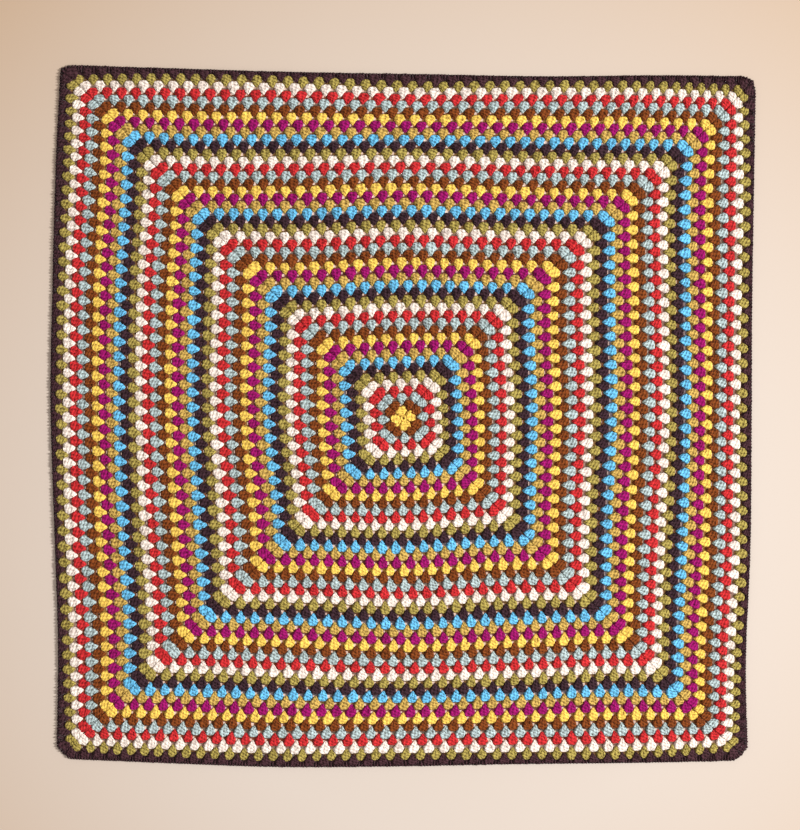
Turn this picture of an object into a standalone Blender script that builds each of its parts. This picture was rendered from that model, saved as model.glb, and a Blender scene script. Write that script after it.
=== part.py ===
"""Granny square blanket, lying flat on its back.

One large granny square is crocheted from the middle out: 46 rounds of three-treble
clusters, each round a raised ridge with a lower line before the next. A dark edging is
worked around its last round. Each of the two is one closed solid with a flat underside.
Units are metres, +Z is up, and the origin is under the middle of the outline.
"""

import math

import bmesh
import bpy

# The rounds. Places in the square are counted in rounds from its middle: u right, v up.
ROUNDS = 46
ROUND_STEP = 0.0116
MIDDLE = (0.0026, -0.0020)
CORNER_CUT = 0.8

# The middle rounds are worked tighter than the rest and turn the centre a little to the left.
TURN_OF_MIDDLE = math.radians(4)
TIGHTNESS_OF_MIDDLE = 0.08
REACH_OF_MIDDLE = 9

# Heights above the surface that the blanket lies on.
CREST = 0.0055
VALLEY = 0.0036
EDGING_INNER_SIDE = 0.0042
EDGING_OUTER_SIDE = 0.0030

EDGING_CREST_SHARE = 0.45
GAP = 0.0003
SEGMENTS_PER_SIDE = 8
MM = 0.001

# How far the cloth lies off a true square, in millimetres, at every sixteenth round.
# Columns: far left, left, near left, middle, near right, right, far right.
KNOT_STEP = 16
PULL_RIGHT = {
    "top edge": (8, 6, 16, 29, 38, 34, 1),
    "upper": (0, 0, -2, 4, 8, 5, 9),
    "near upper": (-8, -10, -3, -5, -11, 5, 5),
    "middle": (-11, -12, -6, -1, -6, 7, 2),
    "near lower": (-9, -3, 9, -3, -9, -1, 3),
    "lower": (-2, 8, 4, 6, 1, -5, -6),
    "bottom edge": (7, -10, -13, -12, -3, -1, -12),
}
PULL_UP = {
    "top edge": (-1, 4, -1, -10, -8, -9, -17),
    "upper": (25, 1, -1, 3, -3, -7, -10),
    "near upper": (29, 8, -8, 0, -3, -2, -19),
    "middle": (27, 7, 0, -2, 3, 1, -24),
    "near lower": (19, 4, 5, 1, 12, 0, -23),
    "lower": (5, 9, 2, -5, 2, 8, -17),
    "bottom edge": (13, 2, -5, -2, -2, -1, 15),
}

# Each side in working order: the direction that it faces, and the direction of the work.
SIDES = {
    "top": ((0, 1), (1, 0)),
    "right": ((1, 0), (0, -1)),
    "bottom": ((0, -1), (-1, 0)),
    "left": ((-1, 0), (0, 1)),
}

# Width of the edging, in millimetres, at every sixteenth round along each side.
# Columns: start of the side, three places on, middle of the side in the centre, end.
EDGING_WIDTH = {
    "top": (19, 10, 8, 13, 8, 11, 16),
    "right": (14, 7, 7, 9, 6, 7, 11),
    "bottom": (17, 8, 9, 12, 11, 12, 13),
    "left": (21, 11, 9, 12, 13, 16, 14),
}
# Width of the edging across the corner that ends each side, in millimetres.
EDGING_AT_CORNER = {"top": 20, "right": 17, "bottom": 15, "left": 22}


def smooth(values, place):
    """Value at a place, counted in steps from the first, on a smooth curve through values."""
    first = 2 * values[0] - values[1]
    last = 2 * values[-1] - values[-2]
    ends = [first, *values, last]
    step = max(0, min(int(place), len(values) - 2))
    t = place - step
    a, b, c, d = ends[step : step + 4]
    return b + t / 2 * (c - a + t * (2 * a - 5 * b + 4 * c - d + t * (3 * (b - c) + d - a)))


def pull(table, u, v):
    """One of the pull tables read at a place in the square, in metres."""
    half = KNOT_STEP * (len(table) - 1) / 2
    across = [smooth(row, (u + half) / KNOT_STEP) for row in table.values()]
    return smooth(across, (half - v) / KNOT_STEP) * MM


def lie(u, v):
    """Where a place in the square, in rounds from the middle, lies on the surface."""
    fade = math.exp(-((max(abs(u), abs(v)) / REACH_OF_MIDDLE) ** 2))
    turn = TURN_OF_MIDDLE * fade
    step = ROUND_STEP * (1 - TIGHTNESS_OF_MIDDLE * fade)
    x = step * (u * math.cos(turn) - v * math.sin(turn))
    y = step * (u * math.sin(turn) + v * math.cos(turn))
    return (
        MIDDLE[0] + x + pull(PULL_RIGHT, u, v),
        MIDDLE[1] + y + pull(PULL_UP, u, v),
    )


def round_places(size):
    """Places around a round: side, distance along it, and the direction that faces out."""
    reach = size - CORNER_CUT
    miter = math.tan(math.pi / 8)
    places = []
    for side, (out, on) in SIDES.items():
        for i in range(SEGMENTS_PER_SIDE + 1):
            share = 2 * i / SEGMENTS_PER_SIDE - 1
            along = reach * share
            lean = share * miter if abs(share) == 1 else 0
            u, v = (out[k] * size + on[k] * along for k in (0, 1))
            places.append((u, v, side, along, (out[0] + on[0] * lean, out[1] + on[1] * lean)))
        middle = size - CORNER_CUT / 2
        u, v = ((out[k] + on[k]) * middle for k in (0, 1))
        corner = tuple((out[k] + on[k]) * math.sqrt(0.5) for k in (0, 1))
        places.append((u, v, side, None, corner))
    return places


def edging_width(side, along):
    """Width of the edging at a place along a side, or at its corner, in metres."""
    if along is None:
        return EDGING_AT_CORNER[side] * MM
    widths = EDGING_WIDTH[side]
    half = KNOT_STEP * (len(widths) - 1) / 2
    return smooth(widths, (along + half) / KNOT_STEP) * MM


def ring_of(bm, points):
    """A closed ring of vertices through the points."""
    return [bm.verts.new(point) for point in points]


def wall(bm, ring, following):
    """Faces between two rings with the same number of vertices."""
    for i in range(len(ring)):
        j = (i + 1) % len(ring)
        bm.faces.new((ring[i], following[i], following[j], ring[j]))


def yarn(name, colour):
    """Plain wool: rough and not metallic."""
    material = bpy.data.materials.new(name)
    material.use_nodes = True
    shader = material.node_tree.nodes["Principled BSDF"]
    shader.inputs["Base Color"].default_value = (*colour, 1)
    shader.inputs["Roughness"].default_value = 0.95
    shader.inputs["Metallic"].default_value = 0
    return material


def finish(bm, name, material, collection):
    """An object with its place in its mesh, faces pointing out."""
    bmesh.ops.recalc_face_normals(bm, faces=bm.faces)
    mesh = bpy.data.meshes.new(name)
    bm.to_mesh(mesh)
    bm.free()
    mesh.materials.append(material)
    mesh.shade_smooth()
    mesh.set_sharp_from_angle(angle=math.radians(40))
    thing = bpy.data.objects.new(name, mesh)
    collection.objects.link(thing)
    return thing


def square(collection):
    """The crocheted square: a ridge for each round, and a flat underside."""
    bm = bmesh.new()
    outer = ROUNDS + 0.5
    foot = ring_of(bm, [(*lie(u, v), 0) for u, v, *_ in round_places(outer)])
    last = foot
    for half_rounds in range(2 * ROUNDS + 1, 1, -1):
        size = half_rounds / 2
        height = VALLEY if half_rounds % 2 else CREST
        ring = ring_of(bm, [(*lie(u, v), height) for u, v, *_ in round_places(size)])
        wall(bm, last, ring)
        last = ring
    middle = bm.verts.new((*lie(0, 0), VALLEY))
    for i in range(len(last)):
        bm.faces.new((last[i], middle, last[(i + 1) % len(last)]))
    bm.faces.new(foot)
    return finish(bm, "square", yarn("square_yarn", (0.42, 0.25, 0.14)), collection)


def edging(collection):
    """The dark edging: a band of uneven width, higher along its middle."""
    bm = bmesh.new()
    sections = (
        (0.0, 0.0),
        (0.0, EDGING_INNER_SIDE),
        (EDGING_CREST_SHARE, CREST),
        (1.0, EDGING_OUTER_SIDE),
        (1.0, 0.0),
    )
    places = round_places(ROUNDS + 0.5)
    rings = []
    for share, height in sections:
        points = []
        for u, v, side, along, (right, up) in places:
            x, y = lie(u, v)
            out = GAP + share * (edging_width(side, along) - GAP)
            points.append((x + right * out, y + up * out, height))
        rings.append(ring_of(bm, points))
    for ring, following in zip(rings, rings[1:] + rings[:1]):
        wall(bm, ring, following)
    return finish(bm, "edging", yarn("edging_yarn", (0.035, 0.014, 0.024)), collection)


def build():
    """Clears the scene and makes the two pieces in one collection."""
    for thing in list(bpy.data.objects):
        bpy.data.objects.remove(thing, do_unlink=True)
    collection = bpy.data.collections.new("granny_square_blanket")
    bpy.context.scene.collection.children.link(collection)
    square(collection)
    edging(collection)


build()
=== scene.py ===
import math

import bpy
import numpy as np
from mathutils import Matrix


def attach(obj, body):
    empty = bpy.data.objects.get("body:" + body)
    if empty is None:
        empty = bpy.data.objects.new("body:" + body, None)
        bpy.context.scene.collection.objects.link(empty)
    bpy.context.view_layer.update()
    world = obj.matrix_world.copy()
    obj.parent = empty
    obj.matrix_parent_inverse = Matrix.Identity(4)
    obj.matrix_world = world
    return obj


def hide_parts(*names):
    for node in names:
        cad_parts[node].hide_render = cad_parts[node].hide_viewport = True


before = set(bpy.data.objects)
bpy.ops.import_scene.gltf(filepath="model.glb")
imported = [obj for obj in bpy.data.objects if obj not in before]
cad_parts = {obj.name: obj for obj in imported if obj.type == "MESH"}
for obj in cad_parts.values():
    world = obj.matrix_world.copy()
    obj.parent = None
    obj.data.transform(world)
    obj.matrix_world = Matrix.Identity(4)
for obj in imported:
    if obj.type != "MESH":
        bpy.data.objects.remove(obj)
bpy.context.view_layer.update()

# Camera. It looks straight down on the blanket from high enough to show a little of the
# floor all round it, and stands a few millimetres left of the middle. The lens and the film
# are in millimetres, the rest is in metres.
VIEW_HEIGHT = 1.3156
LENS = 70
FILM = 36
CLOTH_TOP = 0.0040
CAMERA_OVER = (-0.0037, 0.0012)

camera_height = CLOTH_TOP + VIEW_HEIGHT * LENS / FILM
bpy.ops.object.camera_add(location=(*CAMERA_OVER, camera_height), rotation=(0, 0, 0))
camera = bpy.context.object
camera.name = "overhead_camera"
camera.data.lens = LENS
camera.data.sensor_width = FILM
bpy.context.scene.camera = camera
bpy.context.scene.view_settings.view_transform = "Standard"


# The rounds. The square is worked in wool from the middle out, in ten colours that come
# round again. Three trebles share a foot in the space below them and fan out to a broad
# head, two such clusters share each corner, and each round is a piece of its own.
ROUNDS = 46
ROUND_STEP = 0.0116
MIDDLE = (0.0026, -0.0020)
MM = 0.001

# The middle rounds are worked tighter than the rest and turn the centre a little to the left.
TURN_OF_MIDDLE = math.radians(4)
TIGHTNESS_OF_MIDDLE = 0.08
REACH_OF_MIDDLE = 9

# How far the cloth lies off a true square, in millimetres, at every sixteenth round.
# Columns: far left, left, near left, middle, near right, right, far right.
KNOT_STEP = 16
PULL_RIGHT = {
    "top edge": (8, 6, 16, 29, 38, 34, 1),
    "upper": (0, 0, -2, 4, 8, 5, 9),
    "near upper": (-8, -10, -3, -5, -11, 5, 5),
    "middle": (-11, -12, -6, -1, -6, 7, 2),
    "near lower": (-9, -3, 9, -3, -9, -1, 3),
    "lower": (-2, 8, 4, 6, 1, -5, -6),
    "bottom edge": (7, -10, -13, -12, -3, -1, -12),
}
PULL_UP = {
    "top edge": (-1, 4, -1, -10, -8, -9, -17),
    "upper": (25, 1, -1, 3, -3, -7, -10),
    "near upper": (29, 8, -8, 0, -3, -2, -19),
    "middle": (27, 7, 0, -2, 3, 1, -24),
    "near lower": (19, 4, 5, 1, 12, 0, -23),
    "lower": (5, 9, 2, -5, 2, 8, -17),
    "bottom edge": (13, 2, -5, -2, -2, -1, 15),
}

# Each side in working order: the direction that it faces, and the direction of the work.
SIDES = {
    "top": ((0, 1), (1, 0)),
    "right": ((1, 0), (0, -1)),
    "bottom": ((0, -1), (-1, 0)),
    "left": ((-1, 0), (0, 1)),
}

# How strongly each wool is mottled and shows its painted shade and painted highlight, and its
# colour, in the order in which they are worked.
MOTTLE_AND_CREASE_SHADE = {
    "yellow": 0.8,
    "brown": 1.4,
    "pale_blue": 1.25,
    "red": 1.1,
    "cream": 0.7,
    "olive": 1.4,
    "aubergine": 1.8,
    "bright_blue": 1.2,
    "mustard": 1.25,
    "plum": 1.1,
}
WOOL = {
    "yellow": (0.94, 0.58, 0.11),
    "brown": (0.185, 0.048, 0.010),
    "pale_blue": (0.39, 0.50, 0.52),
    "red": (0.51, 0.026, 0.030),
    "cream": (0.91, 0.76, 0.70),
    "olive": (0.35, 0.285, 0.072),
    "aubergine": (0.040, 0.0185, 0.026),
    "bright_blue": (0.13, 0.47, 0.78),
    "mustard": (0.52, 0.35, 0.088),
    "plum": (0.29, 0.0065, 0.128),
}

# Rings of one cluster, from its foot to its top, in millimetres.
# Columns: outward from the line of its round, half width, heights of the middle treble, of
# the side trebles and of the creases between them, and how much further outward the sides lie.
CLUSTER = {
    "foot": (-12.0, 0.0, 1.4, 1.4, 1.4, 0.0),
    "joined feet": (-10.9, 1.9, 3.1, 2.6, 2.6, 0.3),
    "gathered posts": (-9.0, 3.4, 5.1, 4.3, 4.1, 0.3),
    "ridge": (-6.5, 5.3, 6.2, 5.9, 4.9, 0.2),
    "lower posts": (-3.9, 7.2, 5.6, 4.7, 4.1, 0.0),
    "middle wraps": (-1.1, 8.3, 4.5, 5.2, 3.9, -0.2),
    "upper posts": (1.7, 8.9, 5.6, 4.4, 4.0, -0.3),
    "upper wraps": (4.6, 8.6, 4.6, 5.4, 4.0, -0.2),
    "heads": (6.9, 6.7, 4.6, 4.6, 3.6, 0.3),
    "top": (8.2, 0.0, 2.8, 2.8, 2.8, 0.0),
}
# The edging draws the heads of the last round together.
LAST_HEADS = {
    "upper wraps": (4.5, 7.5, 4.6, 5.2, 4.0, -0.2),
    "heads": (6.8, 4.4, 4.4, 4.2, 3.6, 0.3),
}
# Points around a ring. Columns: share of the half width, then shares of the three heights.
SECTION = {
    "right edge": (1.0, 0.0, 0.42, 0.0),
    "right treble": (0.70, 0.0, 1.0, 0.0),
    "right crease": (0.36, 0.0, 0.0, 1.0),
    "middle": (0.0, 1.0, 0.0, 0.0),
    "left crease": (-0.36, 0.0, 0.0, 1.0),
    "left treble": (-0.70, 0.0, 1.0, 0.0),
    "left edge": (-1.0, 0.0, 0.42, 0.0),
    "left of the back": (-0.66, 0.0, 0.0, 0.14),
    "back": (0.0, 0.0, 0.0, 0.10),
    "right of the back": (0.66, 0.0, 0.0, 0.14),
}
# How unevenly a stitch is worked, as deviations of its turn, size, height, tint and points,
# and the lowest that any of its points may lie.
UNEVEN_TURN = math.radians(3.5)
UNEVEN_SIZE = 0.04
UNEVEN_HEIGHT = 0.06
UNEVEN_TINT = 0.06
UNEVEN_POINT = 0.42 * MM
LOWEST = 0.2 * MM
SEED = 46
# The two clusters of a corner lean together and touch, and are wider than the rest. The four
# clusters of the first round are wider still, lie further out and are turned, so they meet.
CORNER_LEAN = math.radians(16)
CORNER_CLOSER = 0.05
WIDER = 1.1
FIRST_WIDER = 1.38
FIRST_FURTHER = 0.15
FIRST_TURN = math.radians(12)
# Clusters of the top and bottom sides lie over to the left: their right flank is narrower by
# this share.
FLANK_IN = 0.08


def smooth(values, place):
    """Values at places counted in steps from the first, on smooth curves through them."""
    first = 2 * values[0] - values[1]
    last = 2 * values[-1] - values[-2]
    ends = np.vstack([first, values, last])
    step = np.clip(place.astype(int), 0, len(values) - 2)
    t = (place - step)[:, None]
    a, b, c, d = (ends[step + k] for k in range(4))
    return b + t / 2 * (c - a + t * (2 * a - 5 * b + 4 * c - d + t * (3 * (b - c) + d - a)))


def pull(table, u, v):
    """One of the pull tables read at places in the square, in metres."""
    rows = np.array(list(table.values()), float)
    knots = np.eye(len(rows))
    half = KNOT_STEP * (len(rows) - 1) / 2
    across = smooth(knots, (u + half) / KNOT_STEP)
    down = smooth(knots, (half - v) / KNOT_STEP)
    return np.einsum("pi,ij,pj->p", down, rows, across) * MM


def lie(places):
    """Where places in the square, in rounds from its middle, lie on the floor."""
    u, v = places[:, 0], places[:, 1]
    fade = np.exp(-((np.maximum(abs(u), abs(v)) / REACH_OF_MIDDLE) ** 2))
    turn = TURN_OF_MIDDLE * fade
    step = ROUND_STEP * (1 - TIGHTNESS_OF_MIDDLE * fade)
    x = step * (u * np.cos(turn) - v * np.sin(turn))
    y = step * (u * np.sin(turn) + v * np.cos(turn))
    right = MIDDLE[0] + x + pull(PULL_RIGHT, u, v)
    up = MIDDLE[1] + y + pull(PULL_UP, u, v)
    return np.column_stack([right, up])


def stitch_of(rings, section):
    """A stitch to copy, drawn out of a sphere: points, faces, yarn map and points' play."""
    bpy.ops.object.select_all(action="DESELECT")
    bpy.ops.mesh.primitive_uv_sphere_add(
        segments=len(section), ring_count=len(rings) - 1, radius=1
    )
    ball = bpy.context.object
    places = np.array([vertex.co for vertex in ball.data.vertices])
    down = np.arccos(np.clip(-places[:, 2], -1, 1)) / math.pi
    ring = np.rint(down * (len(rings) - 1)).astype(int)
    turn = np.arctan2(places[:, 1], places[:, 0]) / (2 * math.pi)
    point = np.rint(turn * len(section)).astype(int) % len(section)
    point[(ring == 0) | (ring == len(rings) - 1)] = list(section).index("middle")
    outward, half_width, *heights, sides_outward = np.array(list(rings.values())).T
    across, *shares = np.array(list(section.values())).T
    height = sum(heights[k][ring] * shares[k][point] for k in range(len(heights)))
    x = half_width[ring] * across[point]
    y = outward[ring] + sides_outward[ring] * across[point] ** 2
    points = np.column_stack([x, y, height]) * MM
    # The sphere's axis now lies flat, so the faces are turned round to point out again. Their
    # order, which changes from run to run, is made the same each time.
    faces = sorted(list(face.vertices)[::-1] for face in ball.data.polygons)
    bpy.data.objects.remove(ball, do_unlink=True)
    yarn_map = np.column_stack([across[point], outward[ring]])
    return points, faces, yarn_map, half_width[ring] / half_width.max()


def joined(name, stitch, placed, tints):
    """One mesh of many copies of a stitch, each with its own tint of the yarn."""
    _, faces, yarn_map, _ = stitch
    copies, corners = placed.shape[:2]
    every_face = [
        [corner + corners * copy for corner in face] for copy in range(copies) for face in faces
    ]
    mesh = bpy.data.meshes.new(name)
    mesh.from_pydata(placed.reshape(-1, 3).tolist(), [], every_face)
    uv = np.tile(yarn_map[np.concatenate(faces)], (copies, 1))
    mesh.uv_layers.new(name="yarn").data.foreach_set("uv", uv.ravel())
    tint = mesh.attributes.new("tint", "FLOAT", "POINT")
    tint.data.foreach_set("value", np.repeat(tints, corners))
    mesh.shade_smooth()
    thing = bpy.data.objects.new(name, mesh)
    bpy.context.scene.collection.objects.link(thing)
    return thing


class Wire:
    """An output of a material's node. Arithmetic on it adds Math nodes."""

    def __init__(self, tree, socket=None):
        self.tree = tree
        self.socket = socket

    def add(self, kind, settings=None, inputs=None, output=0):
        """A new node: its settings are made first, then its inputs are set or linked."""
        node = self.tree.nodes.new(kind)
        for name, value in (settings or {}).items():
            setattr(node, name, value)
        for name, value in (inputs or {}).items():
            if isinstance(value, Wire):
                self.tree.links.new(value.socket, node.inputs[name])
            else:
                node.inputs[name].default_value = value
        return Wire(self.tree, node.outputs[output])

    def maths(self, operation, *values):
        """A Math node on these values."""
        return self.add("ShaderNodeMath", {"operation": operation}, dict(enumerate(values)))

    def part(self, axis):
        """The X, Y or Z of a vector."""
        return self.add("ShaderNodeSeparateXYZ", inputs={0: self}, output=axis)

    def blend(self, share, first, second):
        """A mix of two colours, with the second's share kept from 0 to 1."""
        # Of the node's many sockets, these are the ones for colours.
        return self.add("ShaderNodeMix", {"data_type": "RGBA"}, {0: share, 6: first, 7: second}, 2)

    def __add__(self, other):
        return self.maths("ADD", self, other)

    def __sub__(self, other):
        return self.maths("SUBTRACT", self, other)

    def __rsub__(self, other):
        return self.maths("SUBTRACT", other, self)

    def __mul__(self, other):
        return self.maths("MULTIPLY", self, other)

    __radd__ = __add__
    __rmul__ = __mul__


# Fibres and tufts to the metre, and how finely each is broken up.
FIBRES = 1400.0
FIBRE_DETAIL = 3.0
TUFTS = 330.0
TUFT_DETAIL = 1.0
# The yarn's wraps lie WRAP_STEP millimetres apart along a treble, the first at WRAP_FROM, and
# slant across it. A treble takes TREBLE_SHARE of a cluster's half width. Tufts bend both, by
# so many turns, and each cluster's own tint starts its wraps at a place of their own.
WRAP_STEP = 4.9
WRAP_FROM = -1.8
WRAP_SLANT = 0.71
WRAP_BENT = 0.9
OWN_START = 8.0
TREBLE_SHARE = 0.72
TREBLE_BENT = 0.6
# The relief runs from 0 to 1, and wraps and trebles rise and fall this far about its mean.
WRAP_RELIEF = 0.28
TREBLE_RELIEF = 0.22
MEAN = 0.5
# How strongly relief, fibres and tufts show in the colour: the relief as painted shade in the
# creases between wraps and trebles and painted highlight on their crests, fibres and tufts as the
# wool's own uneven tone. Then how far the yarn without them is from its dark shade to its light
# one. The dark shade is warm painted shade together with darker tone, the light one painted
# highlight together with lighter tone. Both shades are shares of the wool's own colour.
RELIEF_AS_PAINTED_SHADE = 0.8
FIBRE_SHOWN = 0.6
TUFT_SHOWN = 1.0
YARN_SHADE = 0.61
DARK_TONE_AND_SHADE = (0.25, 0.21, 0.18)
LIGHT_TONE_AND_HIGHLIGHT = 1.2
DARK_GROUND = 0.25
BLACK = (0, 0, 0, 1)
# The bumps on the yarn, in metres and shares, and its soft matt surface.
BUMP_OF_RELIEF = 0.7
BUMP_OF_FIBRE = 0.3
BUMP_HEIGHT = 0.0012
BUMP_STRENGTH = 0.9
WOOL_ROUGHNESS = 0.92
WOOL_GLOSS = 0.1
WOOL_SHEEN = 0.08
SHEEN_ROUGHNESS = 0.4


def wool(name, colour=None, mottle_and_crease_shade=1.0):
    """Soft matt wool of one colour, or of the mesh's own colours where none is given, with painted
    shade in its creases and painted highlight on its crests.
    """
    material = bpy.data.materials.new(name)
    material.use_nodes = True
    shader = material.node_tree.nodes["Principled BSDF"]
    start = Wire(material.node_tree)
    place = start.add("ShaderNodeTexCoord", output="Object")
    stitch = start.add("ShaderNodeUVMap", {"uv_map": "yarn"})
    across, along = stitch.part("X"), stitch.part("Y")
    tint = start.add("ShaderNodeAttribute", {"attribute_name": "tint"}, output="Fac")
    fibre, tuft = (
        start.add("ShaderNodeTexNoise", inputs={"Vector": place, "Scale": scale, "Detail": detail})
        for scale, detail in ((FIBRES, FIBRE_DETAIL), (TUFTS, TUFT_DETAIL))
    )
    bent = across * WRAP_SLANT + tuft * WRAP_BENT + tint * OWN_START
    wraps = ((along - WRAP_FROM) * (1 / WRAP_STEP) + bent) * (2 * math.pi)
    trebles = (across * (1 / TREBLE_SHARE) + tuft * TREBLE_BENT) * (2 * math.pi)
    wraps, trebles = start.maths("COSINE", wraps), start.maths("COSINE", trebles)
    relief = wraps * WRAP_RELIEF + trebles * TREBLE_RELIEF + MEAN
    # The relief shows in the colour as painted shade in the creases between wraps and trebles and
    # painted highlight on their crests. Fibres and tufts are the wool's own uneven tone.
    shown = (relief - MEAN) * RELIEF_AS_PAINTED_SHADE
    shown = shown + (fibre - MEAN) * FIBRE_SHOWN + (tuft - MEAN) * TUFT_SHOWN
    shade = (shown * mottle_and_crease_shade + YARN_SHADE) * tint
    if colour is None:
        light = start.add("ShaderNodeAttribute", {"attribute_name": "colour"}, output="Color")
        dark = start.blend(DARK_GROUND, BLACK, light)
    else:
        light = (*(min(1, LIGHT_TONE_AND_HIGHLIGHT * channel) for channel in colour), 1)
        dark = (*(share * channel for share, channel in zip(DARK_TONE_AND_SHADE, colour)), 1)
    bumps = start.add(
        "ShaderNodeBump",
        inputs={
            "Height": relief * BUMP_OF_RELIEF + fibre * BUMP_OF_FIBRE,
            "Distance": BUMP_HEIGHT,
            "Strength": BUMP_STRENGTH,
        },
        output="Normal",
    )
    yarn = start.blend(shade, dark, light)
    material.node_tree.links.new(yarn.socket, shader.inputs["Base Color"])
    material.node_tree.links.new(bumps.socket, shader.inputs["Normal"])
    shader.inputs["Roughness"].default_value = WOOL_ROUGHNESS
    shader.inputs["Specular IOR Level"].default_value = WOOL_GLOSS
    shader.inputs["Sheen Weight"].default_value = WOOL_SHEEN
    shader.inputs["Sheen Roughness"].default_value = SHEEN_ROUGHNESS
    return material


def clusters_of(size):
    """A round's clusters: their places, and the directions out and onward of each."""
    rows = []
    for out, on in SIDES.values():
        out, on = np.array(out, float), np.array(on, float)
        if size == 1:
            turned = out * math.cos(FIRST_TURN) - on * math.sin(FIRST_TURN)
            out, on = turned, on * math.cos(FIRST_TURN) + out * math.sin(FIRST_TURN)
        for k in range(size):
            along = 1 - size + 2 * k
            # At the start of a side this is -1, at its end 1, and in between or in the first
            # round it is 0.
            at_end = (k == size - 1) - (k == 0)
            lean = CORNER_LEAN * at_end
            facing = out * math.cos(lean) + on * math.sin(lean)
            onward = on * math.cos(lean) - out * math.sin(lean)
            onward = onward * (WIDER if at_end else FIRST_WIDER if size == 1 else 1)
            closer = CORNER_CLOSER * (on * at_end - out * abs(at_end))
            further = out * FIRST_FURTHER * (size == 1)
            rows.append((out * size + on * along + closer + further, facing, onward))
    return (np.array(column) for column in zip(*rows))


def worked(name, stitch, places, facing, onward, where, chance):
    """Many stitches at places on the blanket, each a little unlike the next, in one mesh."""
    points, _, _, play = stitch
    count = len(places)
    turn = chance.normal(0, UNEVEN_TURN, (count, 1))
    grow = chance.normal(1, UNEVEN_SIZE, (count, 1)) / ROUND_STEP
    uneven = chance.normal(0, UNEVEN_POINT, (count, len(points), 3)) * play[:, None]
    x, y, z = np.moveaxis(points + uneven, -1, 0)
    x = x * (1 - FLANK_IN * np.clip(np.sign(x) * onward[:, :1], 0, 1))
    sideways = grow * (x * np.cos(turn) + y * np.sin(turn))
    outward = grow * (y * np.cos(turn) - x * np.sin(turn))
    flat = (
        places[:, None]
        + sideways[..., None] * onward[:, None]
        + outward[..., None] * facing[:, None]
    )
    height = np.maximum(z * chance.normal(1, UNEVEN_HEIGHT, (count, 1)), LOWEST)
    placed = np.column_stack([where(flat.reshape(-1, 2)), height.ravel()])
    tints = chance.normal(1, UNEVEN_TINT, count)
    return joined(name, stitch, placed.reshape(count, -1, 3), tints)


chance = np.random.default_rng(SEED)
cluster = stitch_of(CLUSTER, SECTION)
last_cluster = stitch_of({**CLUSTER, **LAST_HEADS}, SECTION)
wools = {name: wool(f"wool_{name}", WOOL[name], MOTTLE_AND_CREASE_SHADE[name]) for name in WOOL}
for size in range(1, ROUNDS + 1):
    colour = list(WOOL)[(size - 1) % len(WOOL)]
    name = f"round_{size:02d}_{colour}"
    stitch = last_cluster if size == ROUNDS else cluster
    piece = worked(name, stitch, *clusters_of(size), lie, chance)
    piece.data.materials.append(wools[colour])
    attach(piece, "root")
    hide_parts("square")


# The starting ring. A few chain stitches of the yellow wool are closed into a small round
# ring, and the four clusters of the first round are worked into it.
RING_RADIUS = 3.5 * MM
RING_YARN = 1.9 * MM
RING_HEIGHT = 3.9 * MM
RING_SEGMENTS = 24
RING_YARN_SEGMENTS = 10

bpy.ops.object.select_all(action="DESELECT")
bpy.ops.mesh.primitive_torus_add(
    major_segments=RING_SEGMENTS,
    minor_segments=RING_YARN_SEGMENTS,
    major_radius=RING_RADIUS,
    minor_radius=RING_YARN,
)
ring = bpy.context.object
ring.name = "starting_ring"
ring.data.transform(Matrix.Translation((*lie(np.zeros((1, 2)))[0], RING_HEIGHT)))
ring.data.uv_layers[0].name = "yarn"
ring.data.attributes.new("tint", "FLOAT", "POINT").data.foreach_set(
    "value", np.ones(len(ring.data.vertices))
)
ring.data.shade_smooth()
ring.data.materials.append(wools["yellow"])
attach(ring, "root")
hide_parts("square")


# The edging. Its dark wool makes one more round of clusters, short where the edge is narrow,
# and a last close row of small stitches that leaves the outline only slightly bumpy.
# Its inner line and the radius of its corners are counted in rounds, and so is its full width.
EDGE_SIZE = ROUNDS + 0.5
CORNER_RADIUS = 0.8
EDGING_ROUNDS = 1.25
# Width of the edging, in millimetres, at every sixteenth round along each side.
# Columns: start of the side, two places between, middle of the side, two places between, end.
EDGING_WIDTH = {
    "top": (19, 10.5, 9.3, 14, 9, 12, 18),
    "right": (15.5, 7.5, 8.2, 10, 8, 9.4, 18),
    "bottom": (18, 9.5, 10, 13, 12, 12.7, 15),
    "left": (18, 8.8, 7.5, 10.8, 10.4, 14, 13.7),
}
# Width of the edging across the corner that ends each side, in millimetres.
EDGING_AT_CORNER = {"top": 17, "right": 14, "bottom": 12, "left": 19}
EDGING_WOOL = (0.054, 0.022, 0.029)
# How strongly the edging's wool is mottled and shows its painted shade and painted highlight.
EDGING_MOTTLE_AND_CREASE_SHADE = 1.6
# In rounds: how far its clusters are drawn in, how far apart the last row's stitches lie, and
# how far out from its inner line their middle is. LAST_ROW_CORNER more go round each corner.
EDGING_CLUSTER_IN = 0.2
LAST_ROW_STEP = 0.42
LAST_ROW_MIDDLE = 0.80
LAST_ROW_CORNER = 7
# Rings of one stitch of the last row, from its foot to the outer edge, in millimetres,
# where the edging is as wide as it is counted. The columns are a cluster's.
EDGE_STITCH = {
    "foot": (-5.2, 0.0, 2.0, 2.0, 2.0, 0.0),
    "post": (-3.8, 2.0, 4.6, 3.9, 3.9, 0.4),
    "waist": (-1.6, 2.4, 4.0, 3.5, 3.5, 0.4),
    "wrap": (0.8, 2.8, 5.3, 4.4, 4.4, 0.4),
    "below the chain": (2.6, 2.3, 4.1, 3.5, 3.5, 0.2),
    "chain": (4.1, 2.7, 4.4, 3.6, 3.6, -0.3),
    "outer edge": (5.2, 0.0, 2.2, 2.2, 2.2, 0.0),
}
EDGE_SECTION = {
    "right edge": (1.0, 0.0, 0.4, 0.0),
    "right": (0.55, 0.0, 1.0, 0.0),
    "middle": (0.0, 1.0, 0.0, 0.0),
    "left": (-0.55, 0.0, 1.0, 0.0),
    "left edge": (-1.0, 0.0, 0.4, 0.0),
    "back": (0.0, 0.12, 0.0, 0.0),
}


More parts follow.
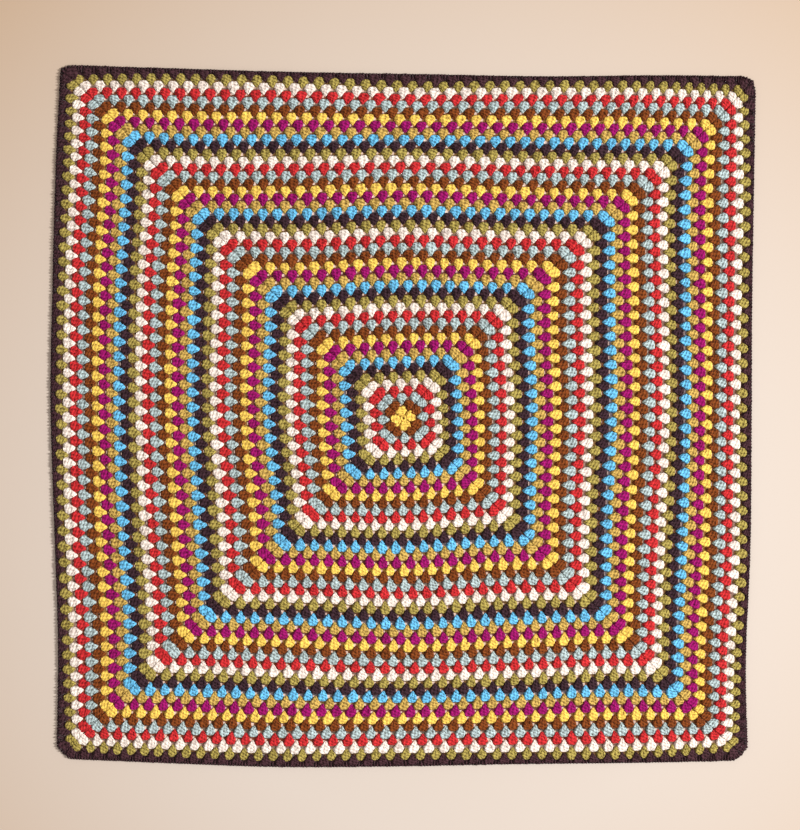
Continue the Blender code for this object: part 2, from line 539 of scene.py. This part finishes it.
def edging_width(base, facing):
    """Width of the edging, in metres, at places on the last round that face given ways."""
    width = np.zeros(len(base))
    for side, (out, on) in SIDES.items():
        half = KNOT_STEP * (len(EDGING_WIDTH[side]) - 1) / 2
        widths = np.array(EDGING_WIDTH[side], float)[:, None]
        along = base @ np.array(on, float)
        read = smooth(widths, (along + half) / KNOT_STEP)[:, 0]
        share = np.clip(facing @ np.array(out, float), 0, 1) ** 2
        following = np.clip(facing @ np.array(on, float), 0, 1) ** 2
        more_at_corner = EDGING_AT_CORNER[side] - mean_at_corner(side)
        # Halfway round the corner both shares are a half, and four times their product is 1.
        width += share * (read + 4 * following * more_at_corner)
    return width * MM


def mean_at_corner(side):
    """Mean of the widths of the two sides that meet at the corner that ends a side."""
    names = list(SIDES)
    following = names[(names.index(side) + 1) % len(names)]
    return (EDGING_WIDTH[side][-1] + EDGING_WIDTH[following][0]) / 2


def hem(places):
    """Where places lie, with those past the last round spread over the edging's width."""
    inner = EDGE_SIZE - CORNER_RADIUS
    core = np.clip(places, -inner, inner)
    off = places - core
    distance = np.linalg.norm(off, axis=1)
    facing = off / np.maximum(distance, 1e-9)[:, None]
    past = np.maximum(distance - CORNER_RADIUS, 0)
    base = core + facing * np.minimum(distance, CORNER_RADIUS)[:, None]
    width = edging_width(base, facing) * past / EDGING_ROUNDS
    return lie(base) + facing * width[:, None]


def tightened_hem(places):
    """As hem, but drawn in a little, to leave room for the last row."""
    reach = np.abs(places).max(axis=1, keepdims=True)
    return hem(places * (1 - EDGING_CLUSTER_IN / reach))


def last_row():
    """The last row's stitches: their places, and the directions out and onward of each."""
    inner = EDGE_SIZE - CORNER_RADIUS
    reach = CORNER_RADIUS + LAST_ROW_MIDDLE
    steps = round(2 * inner / LAST_ROW_STEP)
    places, facings = [], []
    for out, on in SIDES.values():
        out, on = np.array(out, float), np.array(on, float)
        for share in (np.arange(steps) + 0.5) / steps:
            places.append(out * (inner + reach) + on * inner * (2 * share - 1))
            facings.append(out)
        for turn in (np.arange(LAST_ROW_CORNER) + 0.5) / LAST_ROW_CORNER * math.pi / 2:
            facing = out * math.cos(turn) + on * math.sin(turn)
            places.append((out + on) * inner + facing * reach)
            facings.append(facing)
    facings = np.array(facings)
    return np.array(places), facings, np.column_stack([facings[:, 1], -facings[:, 0]])


wool_edging = wool("wool_edging", EDGING_WOOL, EDGING_MOTTLE_AND_CREASE_SHADE)
edge_stitch = stitch_of(EDGE_STITCH, EDGE_SECTION)
for piece in (
    worked("edging_clusters", cluster, *clusters_of(ROUNDS + 1), tightened_hem, chance),
    worked("edging_last_row", edge_stitch, *last_row(), hem, chance),
):
    piece.data.materials.append(wool_edging)
    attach(piece, "root")
    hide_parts("edging")


# The ground. Behind the clusters the feet and loops of the stitches lie close together and close
# the cloth, but for one small hole between each two clusters. Its colour is darker than the
# rounds' wool, as painted shade in the crevices between the clusters.
GROUND_HEIGHT = 1.6 * MM
GROUND_THICKNESS = 0.8 * MM
# Holes of each side, in rounds. Columns: half width, how far onward from the middle of the
# space, and where the inner and outer ends lie from the line of the round.
HOLES = {
    "top": (0.18, -0.25, -0.20, 0.22),
    "right": (0.22, 0.0, -0.30, -0.21),
    "bottom": (0.18, 0.25, -0.20, 0.22),
    "left": (0.17, 0.0, -0.29, -0.205),
}
# Each hole is drawn open by a share of its own, between these.
HOLE_OPENING = (0.5, 1.15)
# In rounds: how far the ground's corners are drawn in, and how far out from the line of the
# edging's clusters it ends.
CORNER_INSET = 0.4
EDGING_OUTER = 0.65
# Its colour is a small share of the round's wool, darkened as painted shade for the crevices
# between the clusters, plus painted warm light that comes back through it.
GROUND_SHADE = 0.17
GROUND_PAINTED_WARM_LIGHT = (0.15, 0.062, 0.024)


def ground_band(size, first, chance):
    """One round of the ground: its places and its faces."""
    outer = EDGING_OUTER if size > ROUNDS else 0.5
    places, cuts = [], []
    for side, (out, on) in SIDES.items():
        out, on = np.array(out, float), np.array(on, float)
        half_width, aside, start, end = HOLES[side]
        for row in (-0.5, start, end, outer):
            places.append((out - on) * (size + row - CORNER_INSET * min(1, size + row - 0.5)))
        cuts.append(False)
        for hole in range(2 - size, size, 2):
            open_by = chance.uniform(*HOLE_OPENING)
            middle, half_length = (start + end) / 2, (end - start) / 2 * open_by
            for way in (-1, 1):
                cuts.append(way < 0 and size <= ROUNDS)
                along = on * (hole + aside + way * half_width * open_by)
                for row in (-0.5, middle - half_length, middle + half_length, outer):
                    places.append(out * (size + row) + along)
    rows, columns = 4, len(cuts)
    faces = []
    for column in range(columns):
        after = (column + 1) % columns
        for row in range(rows - 1):
            if not (cuts[column] and row == 1):
                near, far = first + column * rows + row, first + after * rows + row
                faces.append([near, near + 1, far + 1, far])
    return places, faces


def ground(chance):
    """The closed sheet behind the clusters, in the colours of the rounds darkened as painted
    shade, with painted warm light.
    """
    places = [np.array(corner) for corner in ((-0.5, 0.5), (0.5, 0.5), (0.5, -0.5), (-0.5, -0.5))]
    faces, sizes = [[3, 2, 1, 0]], [1]
    for size in range(1, ROUNDS + 2):
        more_places, more_faces = ground_band(size, len(places), chance)
        places += more_places
        faces += more_faces
        sizes += [size] * len(more_faces)
    flat = hem(np.array(places))
    points = np.column_stack([flat, np.full(len(flat), GROUND_HEIGHT)])
    mesh = bpy.data.meshes.new("ground")
    mesh.from_pydata(points.tolist(), [], faces)
    sizes = np.array(sizes)
    wools = np.array(list(WOOL.values()))[(sizes - 1) % len(WOOL)] * GROUND_SHADE
    wools = np.where((sizes > ROUNDS)[:, None], EDGING_WOOL, wools + GROUND_PAINTED_WARM_LIGHT)
    shown = mesh.attributes.new("colour", "FLOAT_COLOR", "FACE")
    shown.data.foreach_set("color", np.column_stack([wools, np.ones(len(wools))]).ravel())
    tint = mesh.attributes.new("tint", "FLOAT", "POINT")
    tint.data.foreach_set("value", np.ones(len(points)))
    mesh.uv_layers.new(name="yarn")
    thing = bpy.data.objects.new("ground", mesh)
    bpy.context.scene.collection.objects.link(thing)
    bpy.ops.object.select_all(action="DESELECT")
    bpy.context.view_layer.objects.active = thing
    wall = thing.modifiers.new("thickness", "SOLIDIFY")
    wall.thickness = GROUND_THICKNESS
    wall.offset = 0
    bpy.ops.object.modifier_apply(modifier=wall.name)
    return thing


cloth = ground(chance)
cloth.data.materials.append(wool("wool_ground"))
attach(cloth, "root")
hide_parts("square")


# Floor and light. The blanket lies on a pale floor, with painted shade towards its far edges and a
# painted glow under the blanket, under one soft light that stands to the right and above it, in an
# even pale room.
FLOOR_SIZE = 12
FLOOR_PALE = (0.545, 0.488, 0.440)
FLOOR_SHADED = (0.445, 0.327, 0.228)
# The floor's colour holds painted shade: it is pale near the middle and shaded to tan further out,
# more so to the left and the top. Here is how far it is shaded in the middle, and what each metre
# to the right, each metre up and the square of the distance from the middle add.
FLOOR_SHADE_AT_MIDDLE = -0.19
FLOOR_SHADE_RIGHT = -0.16
FLOOR_SHADE_UP = 0.33
FLOOR_SHADE_OUTWARD = 0.94
# A painted glow on the floor under the blanket, up to a little inside its edge, where it fades
# out, stands in for light that comes through the wool.
LIGHT_THROUGH = (0.66, 0.46, 0.37)
COVERED_TO = 0.535
COVERED_FADE = 0.02
FLOOR_ROUGHNESS = 0.9
FLOOR_GLOSS = 0.1
# The lamp stands this far right of the blanket's middle and this far up, and faces it.
LAMP_RIGHT = 6.8
LAMP_UP = 4.7
LAMP_SIZE = 1.8
LAMP_POWER = 1100
LAMP_COLOUR = (1.0, 0.98, 0.95)
ROOM_COLOUR = (1.0, 0.90, 0.84, 1)
ROOM_STRENGTH = 0.63

bpy.ops.object.select_all(action="DESELECT")
bpy.ops.mesh.primitive_plane_add(size=FLOOR_SIZE)
floor = bpy.context.object
floor.name = "floor"
paint = bpy.data.materials.new("floor_paint")
paint.use_nodes = True
floor_shader = paint.node_tree.nodes["Principled BSDF"]
from_middle = Wire(paint.node_tree).add("ShaderNodeTexCoord", output="Object")
right, up = from_middle.part("X"), from_middle.part("Y")
painted_floor_shade = (right * right + up * up) * FLOOR_SHADE_OUTWARD + right * FLOOR_SHADE_RIGHT + up * FLOOR_SHADE_UP + FLOOR_SHADE_AT_MIDDLE
shown = painted_floor_shade.blend(painted_floor_shade, (*FLOOR_PALE, 1), (*FLOOR_SHADED, 1))
furthest = up.maths("MAXIMUM", up.maths("ABSOLUTE", right), up.maths("ABSOLUTE", up))
covered = (COVERED_TO - furthest) * (1 / COVERED_FADE)
glow = covered.blend(covered, BLACK, (*LIGHT_THROUGH, 1))
paint.node_tree.links.new(shown.socket, floor_shader.inputs["Base Color"])
paint.node_tree.links.new(glow.socket, floor_shader.inputs["Emission Color"])
floor_shader.inputs["Emission Strength"].default_value = 1
floor_shader.inputs["Roughness"].default_value = FLOOR_ROUGHNESS
floor_shader.inputs["Specular IOR Level"].default_value = FLOOR_GLOSS
floor.data.materials.append(paint)

bpy.ops.object.light_add(type="AREA", location=(LAMP_RIGHT, 0, LAMP_UP))
lamp = bpy.context.object
lamp.name = "window_light"
lamp.rotation_euler = (0, math.atan2(LAMP_RIGHT, LAMP_UP), 0)
lamp.data.shape = "DISK"
lamp.data.size = LAMP_SIZE
lamp.data.energy = LAMP_POWER
lamp.data.color = LAMP_COLOUR

room = bpy.data.worlds.new("room")
bpy.context.scene.world = room
room.use_nodes = True
sky = room.node_tree.nodes["Background"]
sky.inputs["Color"].default_value = ROOM_COLOUR
sky.inputs["Strength"].default_value = ROOM_STRENGTH
